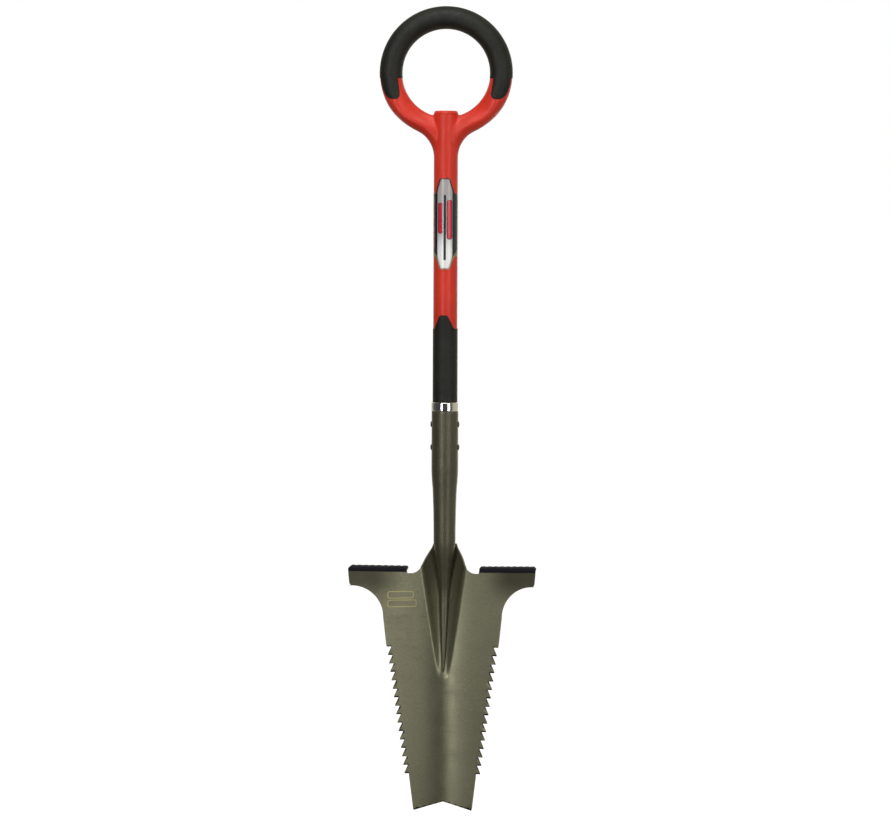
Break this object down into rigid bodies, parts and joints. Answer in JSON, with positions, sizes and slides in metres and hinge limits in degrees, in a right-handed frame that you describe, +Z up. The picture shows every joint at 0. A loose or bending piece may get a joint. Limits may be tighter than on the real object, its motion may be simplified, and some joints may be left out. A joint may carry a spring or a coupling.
{
  "type": "detecting shovel",
  "caption": "Full-length digging shovel with a round ring handle, soft grips, a riveted steel socket and a saw-edged blade with foot treads and an inverted-V tip.",
  "frame": {"origin": "centre of the ring handle, on the shaft's axis", "axes": "+Z up the shaft towards the ring's top, the blade's dished face looks towards -Y, +X to the right seen from the front"},
  "size_m": [0.2686, 0.0701, 1.13],
  "materials": {
    "red_moulding": "satin red polypropylene moulding",
    "soft_grip": "black soft overmould with a fine matt grain",
    "label_film": "printed film, silver grey and black with plain red bars",
    "bare_steel": "drawn steel tube",
    "plug_plastic": "dark moulded plug",
    "chrome": "bright chromium plate",
    "coated_steel": "olive-grey satin powder coat on pressed steel",
    "tread_rubber": "dark ribbed non-slip strip"
  },
  "bodies": {
    "root": {"handle_body": "red_moulding", "top_cap": "red_moulding", "ring_grip": "soft_grip", "shaft_grip": "soft_grip", "shaft_label": "label_film", "core_tube": "bare_steel", "lower_tube_plug": "plug_plastic", "ferrule": "chrome", "socket": "coated_steel", "upper_rivet": "coated_steel", "lower_rivet": "coated_steel", "blade": "coated_steel", "left_tread_pad": "tread_rubber", "right_tread_pad": "tread_rubber", "left_weld": "coated_steel", "right_weld": "coated_steel", "rear_weld": "coated_steel"}
  },
  "joints": []
}
